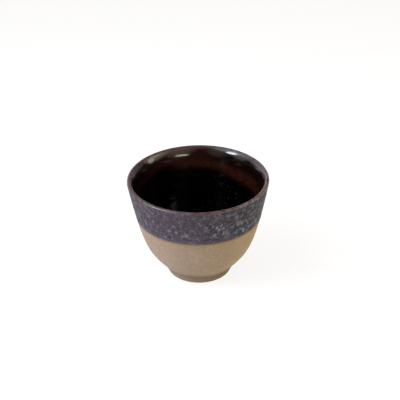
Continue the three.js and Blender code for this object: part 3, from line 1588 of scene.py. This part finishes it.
    def ring(self, s: Surface, over: Socket, shadow_fall: Socket) -> Socket:
        """The ring over the black: rust low down, and plum above.

        Args:
            s: The material under way.
            over: Height over the edge of the black and its painted shadow, before its fall to the right.
            shadow_fall: That fall, which the edge of the painted shadow takes.

        Returns:
            Its colour.
        """
        g = s.g
        # Painted light: the rust ring is stronger on the right, where the lamp on the left lights the wall,
        # and faint in shade on the left.
        rust = g.blend(self.painted_light_rust_side.over(g, s.across), self.shaded_faint_rust, self.rust)
        upper = g.plus(over, g.times(shadow_fall, self.plum_fall))
        upper = g.plus(upper, self.plum_left.over(g, s.across))
        top = g.times(self.plum_zone.over(g, upper), self.plum_clouds.over(g, s.mottle(self.clouds)))
        broken = self.break_patches.over(g, s.mottle(self.breaks))
        top = g.larger(top, g.times(broken, self.break_side.over(g, s.across)))
        plum = g.blend(self.deep_side.over(g, s.across), self.plum, self.deep_plum)
        # Painted shadow: the plum turns black at the far left, where the wall lies in shade.
        plum = g.blend(self.painted_shadow_far_left.over(g, s.across), plum, self.black_and_shadow)
        fine = g.times(s.mottle(self.fine), self.fine_cover)
        return g.blend(fine, g.blend(top, rust, plum), self.deep_plum)

    def build(self, name: str, effects: Effects, section: CupSection) -> bpy.types.Material:
        """Makes the material.

        Args:
            name: Its name.
            effects: The shared effects.
            section: The cup's section.

        Returns:
            The material.
        """
        s = Surface(name, effects)
        g = s.g
        runs = s.mottle(self.runs, Vector=g.vector("MULTIPLY", s.mm, self.run_stretch))
        # Painted shadow: the edge of the black tilts like the shadow of the rim under a lamp on the left.
        rise = g.minus(self.shadow_left_rise.over(g, s.across), self.shadow_far_left_drop.over(g, s.across))
        shadow_fall = self.shadow_right_fall.over(g, s.across)
        over = g.minus(g.plus(s.height, g.swing(runs, self.run_drift)), g.plus(self.edge, rise))
        colour = g.blend(self.black_and_shadow_zone.over(g, g.plus(over, shadow_fall)), self.black_and_shadow, self.ring(s, over, shadow_fall))
        colour = g.blend(self.lip_zone.over(g, s.height, section.height / MM), colour, self.lip)
        deep = self.deep.over(g, s.height)
        # Painted highlight: pale crystal specks in the well also stand in for small glints.
        dense = g.larger(self.crystal_and_glint_side.over(g, s.across), self.crystal_and_glint_low.over(g, s.height))
        crystal_and_glint = g.times(s.specks(self.crystals_and_glints, dense), deep)
        colour = g.blend(g.times(crystal_and_glint, self.crystal_and_glint_cover), colour, self.crystal_and_glint)
        smooth = g.minus(self.roughness, g.times(deep, self.deep_gloss))
        rough = g.plus(g.times(runs, self.run_roughness), smooth)
        normal = s.bump(runs, self.run_depth)
        normal = s.bump(crystal_and_glint, self.crystal_depth, normal)
        return s.shade(colour, rough, normal, self.specular, coat=self.coat.over(g, s.height),
                       coat_roughness=self.coat_roughness)


@dataclass
class Workshop:
    """What the sub-assemblies share: the section, the trees and the effects.

    Attributes:
        section: The cup's section.
        turning: The tree that turns an outline.
        grains: The tree that sets grog into clay.
        effects: The shared surface effects.
    """

    section: CupSection
    turning: TurningTree
    grains: GrainTree
    effects: Effects

    @staticmethod
    def place(piece: bpy.types.Object, slot: Slot, *solids: Solid) -> bpy.types.Object:
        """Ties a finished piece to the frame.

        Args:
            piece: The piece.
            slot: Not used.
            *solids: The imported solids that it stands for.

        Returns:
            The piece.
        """
        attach(piece, BODY)
        if solids:
            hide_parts(*[solid.value for solid in solids])
        return piece


@dataclass
class ClayBody:
    """The fired clay: the thrown bowl, its foot ring and the grog that shows in them.

    Attributes:
        shop: What the sub-assemblies share.
        foot_bottom_radius: Outside of the foot at its resting face.
        foot_width: Width of the foot at its resting face.
        foot_joint_width: Width of the foot at the bowl.
        foot_edge: Round of the foot's edges.
        joint_edge: Round of the corners at the joint of foot and bowl.
        hand: Traces of the wheel on the bowl.
        foot_hand: Traces of the wheel on the foot.
        grog: The grains that show.
        grog_margin: How far under the glaze line they end.
        clay: Finish of the bowl.
        foot_clay: Finish of the foot.
        grog_finish: Finish of the grains.
    """

    shop: Workshop
    foot_bottom_radius: float = 20.55 * MM
    foot_width: float = 4.4 * MM
    foot_joint_width: float = 7.8 * MM
    foot_edge: float = 0.8 * MM
    joint_edge: float = 0.35 * MM
    hand: Hand = Hand(turning=0.07 * MM)
    foot_hand: Hand = Hand(ripple=0.0)
    grog: Grog = Grog()
    grog_margin: float = 1 * MM
    clay: BareClay = BareClay()
    # Painted light: the foot's cool left and warm right tints are stronger than the bowl's.
    foot_clay: BareClay = BareClay(painted_cool_light=(1.50, 1.45, 1.68), painted_warm_light=(0.89, 0.88, 0.49))
    grog_finish: GrogFinish = GrogFinish()

    WALL_STEPS = 120
    MARK_STEPS = 64

    @property
    def seat(self) -> float:
        """Inside radius of the foot where it joins the bowl."""
        return self.shop.section.foot_radius - self.foot_joint_width

    def bowl_outline(self) -> Outline:
        """Outline of the bowl: underside, bare wall, shoulder, rim and inside.

        Returns:
            The points.
        """
        c = self.shop.section
        line = c.station_at(c.glaze_line, c.wall_point)
        underside = [Vector((radius, c.foot_height)) for radius in spaced(0, self.seat, self.MARK_STEPS)]
        wall = [c.wall_point(s) for s in spaced(0, line, self.WALL_STEPS)]
        corner = self._round(wall[0], Vector((-1, 0)), (wall[1] - wall[0]).normalized(), self.joint_edge)
        wall = [p for p in wall if (p - wall[0]).length > self.joint_edge]
        shoulder = [c.wall_point(s, c.band_coat) for s in spaced(line, 1, HIDDEN_STEPS)[:-1]]
        rim = c.lip_arc(c.lip_coat, HIDDEN_STEPS)[:-1]
        inside = c.inside(c.liner_coat, HIDDEN_STEPS, HIDDEN_STEPS, HIDDEN_FLOOR_STEPS)
        return underside + corner + wall + shoulder + rim + inside

    @staticmethod
    def _round(corner: Vector, before: Vector, after: Vector, reach: float) -> Outline:
        """A rounded corner.

        Args:
            corner: The sharp corner.
            before: Direction from it back along the outline.
            after: Direction from it on along the outline.
            reach: How far the round reaches along both.

        Returns:
            The points of the round.
        """
        return bent(corner + before * reach, corner, corner + after * reach, EDGE_STEPS)

    def foot_outline(self) -> Outline:
        """Outline of the foot ring, closed on its first point.

        Returns:
            The points.
        """
        c = self.shop.section
        joint = Vector((c.foot_radius, c.foot_height))
        inner_joint = Vector((self.seat, c.foot_height))
        outer_corner = Vector((self.foot_bottom_radius, 0))
        bore_corner = Vector((self.foot_bottom_radius - self.foot_width, 0))
        up_out = (joint - outer_corner).normalized()
        up_in = (inner_joint - bore_corner).normalized()
        points = self._round(outer_corner, Vector((-1, 0)), up_out, self.foot_edge)
        points += self._round(joint, -up_out, Vector((-1, 0)), self.joint_edge)
        points.append(inner_joint)
        points += self._round(bore_corner, up_in, Vector((1, 0)), self.foot_edge)
        return points + [points[0]]

    def build(self) -> list[bpy.types.Object]:
        """Builds and dresses the clay.

        Returns:
            The bowl, the foot and the grains.
        """
        shop, section = self.shop, self.shop.section
        clay = self.clay.build("bare clay", shop.effects, section)
        foot_clay = self.foot_clay.build("foot clay", shop.effects, section)
        grog = self.grog_finish.build("grog", shop.effects)
        bowl = shop.turning.turn("thrown_bowl", self.bowl_outline(), self.hand, section, self.seat, clay)
        foot = shop.turning.turn("turned_foot", self.foot_outline(), self.foot_hand, section, self.seat,
                                 foot_clay)
        top = section.glaze_line - self.grog_margin
        grains = shop.grains.scatter("grog_grains", bowl, top, self.grog, grog)
        shop.place(bowl, Slot.BARE_CLAY, Solid.BOWL)
        shop.place(foot, Slot.FOOT_CLAY, Solid.FOOT)
        shop.place(grains, Slot.BARE_CLAY)
        return [bowl, foot, grains]


@dataclass
class GlazeCoats:
    """The three glazes: the speckled band, the lip and the lining.

    Attributes:
        shop: What the sub-assemblies share.
        bead: How far the band's lower edge stands proud.
        bead_reach: Height over which it does.
        edge_share: Share of that height that the rolled edge takes.
        edge_depth: How deep under the bare wall that edge starts, as a share of the band's thickness.
        hand: Traces of the wheel under the band and the lip.
        liner_hand: Traces of the wheel inside.
        band: Finish of the band.
        lip: Finish of the lip.
        lining: Finish of the lining.
    """

    shop: Workshop
    bead: float = 0.14 * MM
    bead_reach: float = 1.6 * MM
    edge_share: float = 0.25
    edge_depth: float = 0.3
    hand: Hand = Hand()
    liner_hand: Hand = Hand(ripple=0.03 * MM, ripple_pitch=6.4 * MM, ripple_top=56 * MM)
    band: BandGlaze = BandGlaze()
    lip: LipGlaze = LipGlaze()
    lining: LinerGlaze = LinerGlaze()

    WALL_STEPS = 70
    LIP_STEPS = 36
    LINER_STEPS = 110
    CORNER_STEPS = 24
    FLOOR_STEPS = 20

    def band_outline(self) -> Outline:
        """Outline of the band, with a rolled lower edge, closed on its first point.

        Returns:
            The points.
        """
        c = self.shop.section
        line = c.station_at(c.glaze_line, c.wall_point)
        start = c.station_at(c.glaze_line + self.bead_reach * self.edge_share, c.wall_point)
        face = [self._face_point(s) for s in spaced(start, 1, self.WALL_STEPS)]
        low = c.wall_point(line, c.band_coat * self.edge_depth)
        edge = bent(low, c.wall_point(line, -self.bead), face[0], EDGE_STEPS)[:-1]
        back = [c.wall_point(s, c.band_coat) for s in spaced(1, line, HIDDEN_STEPS)]
        points = edge + face + back
        return points + [points[0]]

    def _face_point(self, station: float) -> Vector:
        """A point of the band's face, proud by the bead near the line.

        Args:
            station: Where it lies on the wall.

        Returns:
            The point.
        """
        c = self.shop.section
        rise = c.wall_point(station).y - c.glaze_line
        swell = max(0.0, 1 - rise / self.bead_reach)
        return c.wall_point(station, -self.bead * swell * swell * (3 - 2 * swell))

    def lip_outline(self) -> Outline:
        """Outline of the lip's glaze, closed on its first point.

        Returns:
            The points.
        """
        c = self.shop.section
        face = c.lip_arc(lambda share: 0.0, self.LIP_STEPS)
        back = c.lip_arc(c.lip_coat, HIDDEN_STEPS)[::-1]
        return face + back + [face[0]]

    def liner_outline(self) -> Outline:
        """Outline of the lining, from the axis under the floor round to the axis on the floor.

        Returns:
            The points.
        """
        c = self.shop.section
        back = c.inside(c.liner_coat, HIDDEN_STEPS, HIDDEN_STEPS, HIDDEN_FLOOR_STEPS)[::-1]
        return back + c.inside(0.0, self.LINER_STEPS, self.CORNER_STEPS, self.FLOOR_STEPS)

    def build(self) -> list[bpy.types.Object]:
        """Builds and dresses the glazes.

        Returns:
            The band, the lip and the lining.
        """
        shop = self.shop
        made = []
        for name, outline, hand, finish, slot, solid in (
            ("speckled_band", self.band_outline(), self.hand, self.band, Slot.BAND_GLAZE, Solid.BAND),
            ("lip_edge", self.lip_outline(), self.hand, self.lip, Slot.LIP_GLAZE, Solid.LIP),
            ("black_lining", self.liner_outline(), self.liner_hand, self.lining, Slot.LINER_GLAZE,
             Solid.LINER),
        ):
            material = finish.build(name.replace("_", " "), shop.effects, shop.section)
            piece = shop.turning.turn(name, outline, hand, shop.section, 0.0, material)
            made.append(shop.place(piece, slot, solid))
        return made


def direction(azimuth: float, climb: float) -> Vector:
    """A unit vector from the cup towards a part of the studio.

    Args:
        azimuth: Degrees from +X towards +Y.
        climb: Degrees over the horizon.

    Returns:
        The vector.
    """
    turn, rise = math.radians(azimuth), math.radians(climb)
    return Vector((math.cos(turn) * math.cos(rise), math.sin(turn) * math.cos(rise), math.sin(rise)))


@dataclass(frozen=True)
class Card:
    """A round card with a soft edge, far from the cup, that only gloss mirrors.

    Attributes:
        azimuth: Its direction from the cup in degrees, from +X towards +Y.
        climb: Its height over the horizon in degrees.
        reach: Degrees from its middle to where it has faded out.
        colour: Its colour, at its strength.
    """

    azimuth: float
    climb: float
    reach: float
    colour: Colour

    def mask(self, g: Graph, way: Socket) -> Socket:
        """How much of the card a ray meets.

        Args:
            g: The world's graph.
            way: The direction of the ray.

        Returns:
            The share, from 0 to 1.
        """
        near = g.vector("DOT_PRODUCT", way, direction(self.azimuth, self.climb), output=1)
        return g.step(near, math.cos(math.radians(self.reach)), 1.0)


@dataclass(frozen=True)
class Lamp:
    """A soft lamp that points at the cup.

    Attributes:
        name: Its name.
        azimuth: Its direction from the cup in degrees, from +X towards +Y.
        climb: Its height over the horizon in degrees.
        distance: How far away it is.
        width: Width of its face.
        height: Height of its face.
        power: Its power in watts.
        colour: Its colour.
        spread: How far its light spreads in degrees; below 180 its face fades towards the edges.
    """

    name: str
    azimuth: float
    climb: float
    distance: float
    width: float
    height: float
    power: float
    colour: Colour
    spread: float = 180.0

    def build(self, target: Vector) -> bpy.types.Object:
        """Hangs the lamp.

        Args:
            target: The point that it lights.

        Returns:
            The lamp.
        """
        data = bpy.data.lights.new(self.name, "AREA")
        data.shape = "ELLIPSE"
        data.size, data.size_y = self.width, self.height
        data.energy = self.power
        data.color = self.colour
        data.spread = math.radians(self.spread)
        lamp = bpy.data.objects.new(self.name, data)
        way = direction(self.azimuth, self.climb)
        lamp.location = target + way * self.distance
        lamp.rotation_mode = "QUATERNION"
        lamp.rotation_quaternion = (-way).to_track_quat("-Z", "Y")
        lamp.visible_camera = False
        bpy.context.scene.collection.objects.link(lamp)
        return lamp


@dataclass(frozen=True)
class Studio:
    """Floor, backdrop and lamps.

    Attributes:
        target: The point that the lamps light.
        floor_size: Side of the floor.
        floor_drop: A hair between the foot and the floor, so that the two don't share a face.
        floor_colour: Colour of the floor as it lights the cup.
        floor_seen: Colour of the floor's shadows where it is seen.
        floor_glow: Share of white that the floor has by itself where it is seen.
        ambient: Colour of the light from all round.
        ambient_strength: Its strength.
        backdrop: Colour of the backdrop where it is seen.
        dim: What gloss mirrors where there is no lamp, card or sweep.
        sweep: Colour of the sweep behind the cup in the gloss.
        sweep_climb: How far its lower edge climbs from the middle to the sides.
        sweep_edge: That edge, by height.
        sweep_top: Where the sweep fades upwards.
        sweep_back: Where it starts, towards the back.
        sweep_side: How strong it is, from right to left.
        lamps: The lamps.
        cards: The cards that gloss mirrors.
    """

    target: Vector
    floor_size: float = 6.0
    floor_drop: float = 0.02 * MM
    floor_colour: Colour = (0.85, 0.85, 0.85)
    floor_seen: Colour = (0.22, 0.22, 0.22)
    floor_glow: float = 0.82
    ambient: Colour = (1.0, 0.90, 0.80)
    ambient_strength: float = 0.45
    backdrop: Colour = (1.0, 1.0, 1.0)
    dim: Colour = (0.014, 0.012, 0.010)
    sweep: Colour = (1.35, 1.30, 1.48)
    sweep_climb: float = 0.39
    sweep_edge: Ramp = Ramp(0.20, 0.34)
    sweep_top: Ramp = Ramp(0.5, 0.15)
    sweep_back: Ramp = Ramp(0.0, 0.45)
    sweep_side: Ramp = Ramp(0.3, -0.55, 0.34, 1.0)
    lamps: tuple[Lamp, ...] = (
        Lamp("key", -155.6, 32.2, 0.75, 0.26, 0.14, 1.85, (0.84, 0.91, 1.0)),
        Lamp("window", -158, 50, 0.90, 0.90, 0.80, 0.92, (0.80, 0.88, 1.0), 68),
        Lamp("left panel", 163, 40, 0.90, 1.00, 1.00, 0.50, (0.80, 0.88, 1.0), 60),
        Lamp("right panel", 0.5, 19, 0.90, 0.20, 0.27, 0.44, (1.0, 0.96, 0.80)),
        Lamp("right softbox", -6, 33, 0.90, 0.90, 0.90, 0.56, (1.0, 0.91, 0.72), 52),
        Lamp("front strip", -61.3, 15.2, 0.90, 0.38, 0.10, 0.70, (1.0, 0.95, 0.89)),
    )
    cards: tuple[Card, ...] = (
        Card(190, 25, 21, (1.35, 1.3, 1.55)),
        Card(233, 24, 24, (0.54, 0.40, 0.38)),
        Card(-54, 33, 32, (1.0, 0.78, 0.57)),
    )

    def build(self) -> None:
        """Builds the studio."""
        self._floor()
        self._backdrop()
        for lamp in self.lamps:
            lamp.build(self.target)

    @staticmethod
    def _straight(path: bpy.types.NodeOutputs, g: Graph) -> Socket:
        """A mask of the rays that see through to the backdrop: from the camera, or through glass.

        Args:
            path: Outputs of a Light Path node.
            g: The graph of the material or the world.

        Returns:
            The mask.
        """
        return g.larger(path["Is Camera Ray"], path["Is Transmission Ray"])

    def _floor(self) -> None:
        """Lays the pale floor, which keeps the cup's shadow."""
        half = self.floor_size / 2
        square = ((-half, -half), (half, -half), (half, half), (-half, half))
        mesh = bpy.data.meshes.new("studio floor")
        mesh.from_pydata([(x, y, -self.floor_drop) for x, y in square], [], [(0, 1, 2, 3)])
        floor = bpy.data.objects.new("studio_floor", mesh)
        bpy.context.scene.collection.objects.link(floor)
        material = bpy.data.materials.new("studio floor")
        material.use_nodes = True
        material.node_tree.nodes.clear()
        g = Graph(material.node_tree)
        path = g.add("ShaderNodeLightPath").outputs
        seen = g.larger(self._straight(path, g), path["Is Glossy Ray"])
        matte = g.add("ShaderNodeBsdfDiffuse", {"Color": Graph.rgba(self.floor_colour)})
        shadow = g.add("ShaderNodeBsdfDiffuse", {"Color": Graph.rgba(self.floor_seen)})
        glow = g.add("ShaderNodeEmission", {"Strength": self.floor_glow})
        white = g.add("ShaderNodeAddShader", {0: shadow.outputs[0], 1: glow.outputs[0]})
        both = g.add("ShaderNodeMixShader", {0: seen, 1: matte.outputs[0], 2: white.outputs[0]})
        g.add("ShaderNodeOutputMaterial", {"Surface": both.outputs[0]})
        mesh.materials.append(material)

    def _behind(self, g: Graph, way: Socket) -> Socket:
        """A mask of the sweep behind the cup, whose lower edge climbs towards the sides.

        Args:
            g: The world's graph.
            way: The direction of a ray.

        Returns:
            The mask.
        """
        right, back, up = g.add("ShaderNodeSeparateXYZ", {0: way}).outputs
        edge = self.sweep_edge.over(g, g.plus(up, g.times(back, self.sweep_climb)))
        side = g.times(self.sweep_back.over(g, back), self.sweep_side.over(g, right))
        return g.times(side, g.times(edge, self.sweep_top.over(g, up)))

    @staticmethod
    def _shine(g: Graph, colour: Feed, strength: float = 1.0) -> Socket:
        """A background of one colour or of a pattern."""
        return g.add("ShaderNodeBackground", {"Color": Graph.rgba(colour), "Strength": strength}).outputs[0]

    def _backdrop(self) -> None:
        """Makes the world: soft light all round, white where it is seen, and a white sweep in the gloss."""
        world = bpy.data.worlds.new("studio")
        world.use_nodes = True
        world.node_tree.nodes.clear()
        g = Graph(world.node_tree)
        path = g.add("ShaderNodeLightPath").outputs
        way = g.add("ShaderNodeTexCoord").outputs["Generated"]
        gloss = g.blend(self._behind(g, way), self.dim, self.sweep)
        for card in self.cards:
            gloss = g.blend(card.mask(g, way), gloss, card.colour, "ADD")
        light = self._shine(g, self.ambient, self.ambient_strength)
        room = self._shine(g, gloss)
        mirrored = g.add("ShaderNodeMixShader", {0: path["Is Glossy Ray"], 1: light, 2: room})
        white = self._shine(g, self.backdrop)
        mixed = g.add("ShaderNodeMixShader", {0: self._straight(path, g), 1: mirrored.outputs[0], 2: white})
        g.add("ShaderNodeOutputWorld", {"Surface": mixed.outputs[0]})
        bpy.context.scene.world = world


@dataclass(frozen=True)
class PhotoCamera:
    """The camera at the photograph's viewing angle.

    Attributes:
        distance: Distance to the middle of the cup's axis.
        elevation: Height over the horizon.
        roll: Turn of the picture, counter-clockwise.
        lens: Focal length in millimetres.
        sensor: Width of the sensor in millimetres.
        clip: Nearest and farthest distance that is seen.
        aim: The point in the middle of the picture.
        middle: Height of the middle of the cup's axis.
    """

    distance: float = 625 * MM
    elevation: float = math.radians(31.834)
    roll: float = math.radians(0.931)
    lens: float = 86.62
    sensor: float = 36.0
    clip: tuple[float, float] = (0.01, 50.0)
    aim: Vector = Vector((1.0 * MM, 0.0, 50.35 * MM))
    middle: float = 33.4 * MM

    def build(self) -> bpy.types.Object:
        """Sets up the camera.

        Returns:
            The camera.
        """
        data = bpy.data.cameras.new("photo camera")
        data.lens = self.lens
        data.sensor_width = self.sensor
        data.clip_start, data.clip_end = self.clip
        camera = bpy.data.objects.new("photo camera", data)
        camera.location = (0.0, -self.distance * math.cos(self.elevation),
                           self.middle + self.distance * math.sin(self.elevation))
        look = (self.aim - camera.location).to_track_quat("-Z", "Y")
        camera.rotation_mode = "QUATERNION"
        camera.rotation_quaternion = look @ Quaternion((0.0, 0.0, 1.0), -self.roll)
        bpy.context.scene.collection.objects.link(camera)
        bpy.context.scene.camera = camera
        return camera


def main() -> None:
    """Builds the cup, the studio and the camera."""
    logging.basicConfig(level=logging.INFO, format="%(name)s: %(message)s")
    bpy.context.scene.view_settings.view_transform = "Standard"
    section = CupSection.from_frame()
    shop = Workshop(section, TurningTree(), GrainTree(), Effects())
    for assembly in (ClayBody(shop), GlazeCoats(shop)):
        for piece in assembly.build():
            LOG.info("%s: %d faces", piece.name, len(piece.data.polygons))
    Studio(Vector((0.0, 0.0, section.height / 2))).build()
    PhotoCamera().build()


if __name__ == "__main__":
    main()
